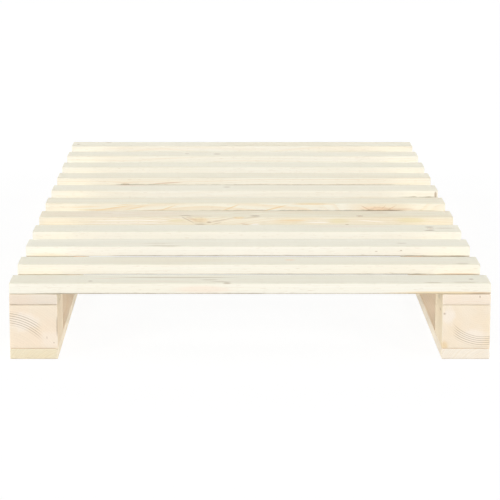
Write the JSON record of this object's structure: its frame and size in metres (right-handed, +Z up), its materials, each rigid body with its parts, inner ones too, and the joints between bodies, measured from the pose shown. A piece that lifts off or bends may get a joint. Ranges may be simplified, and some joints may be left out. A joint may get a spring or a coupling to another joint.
{
  "type": "pallet bed",
  "caption": "Low pallet-style bed frame of bare pine: spaced cross slats on two block-and-board runners, screwed from below.",
  "frame": {"origin": "on the floor under the middle of the bed", "axes": "+X to the right as seen from the foot end, +Y from the foot end to the head end, +Z up"},
  "size_m": [1, 2, 0.1619],
  "materials": {
    "slat_pine": "planed and sanded, untreated",
    "stringer_pine": "planed, untreated",
    "block_pine": "sawn end grain, untreated",
    "skid_pine": "planed, untreated",
    "screw_zinc": "bright zinc plate"
  },
  "bodies": {
    "root": {"slat_01": "slat_pine", "slat_02": "slat_pine", "slat_03": "slat_pine", "slat_04": "slat_pine", "slat_05": "slat_pine", "slat_06": "slat_pine", "slat_07": "slat_pine", "slat_08": "slat_pine", "slat_09": "slat_pine", "slat_10": "slat_pine", "slat_11": "slat_pine", "left_stringer": "stringer_pine", "right_stringer": "stringer_pine", "left_block_1": "block_pine", "left_block_2": "block_pine", "left_block_3": "block_pine", "right_block_1": "block_pine", "right_block_2": "block_pine", "right_block_3": "block_pine", "left_skid_board": "skid_pine", "right_skid_board": "skid_pine", "left_slat_screw_01": "screw_zinc", "left_slat_screw_02": "screw_zinc", "left_slat_screw_03": "screw_zinc", "left_slat_screw_04": "screw_zinc", "left_slat_screw_05": "screw_zinc", "left_slat_screw_06": "screw_zinc", "left_slat_screw_07": "screw_zinc", "left_slat_screw_08": "screw_zinc", "left_slat_screw_09": "screw_zinc", "left_slat_screw_10": "screw_zinc", "left_slat_screw_11": "screw_zinc", "right_slat_screw_01": "screw_zinc", "right_slat_screw_02": "screw_zinc", "right_slat_screw_03": "screw_zinc", "right_slat_screw_04": "screw_zinc", "right_slat_screw_05": "screw_zinc", "right_slat_screw_06": "screw_zinc", "right_slat_screw_07": "screw_zinc", "right_slat_screw_08": "screw_zinc", "right_slat_screw_09": "screw_zinc", "right_slat_screw_10": "screw_zinc", "right_slat_screw_11": "screw_zinc", "left_block_screw_01": "screw_zinc", "left_block_screw_02": "screw_zinc", "left_block_screw_03": "screw_zinc", "left_block_screw_04": "screw_zinc", "left_block_screw_05": "screw_zinc", "left_block_screw_06": "screw_zinc", "right_block_screw_01": "screw_zinc", "right_block_screw_02": "screw_zinc", "right_block_screw_03": "screw_zinc", "right_block_screw_04": "screw_zinc", "right_block_screw_05": "screw_zinc", "right_block_screw_06": "screw_zinc"}
  },
  "joints": []
}
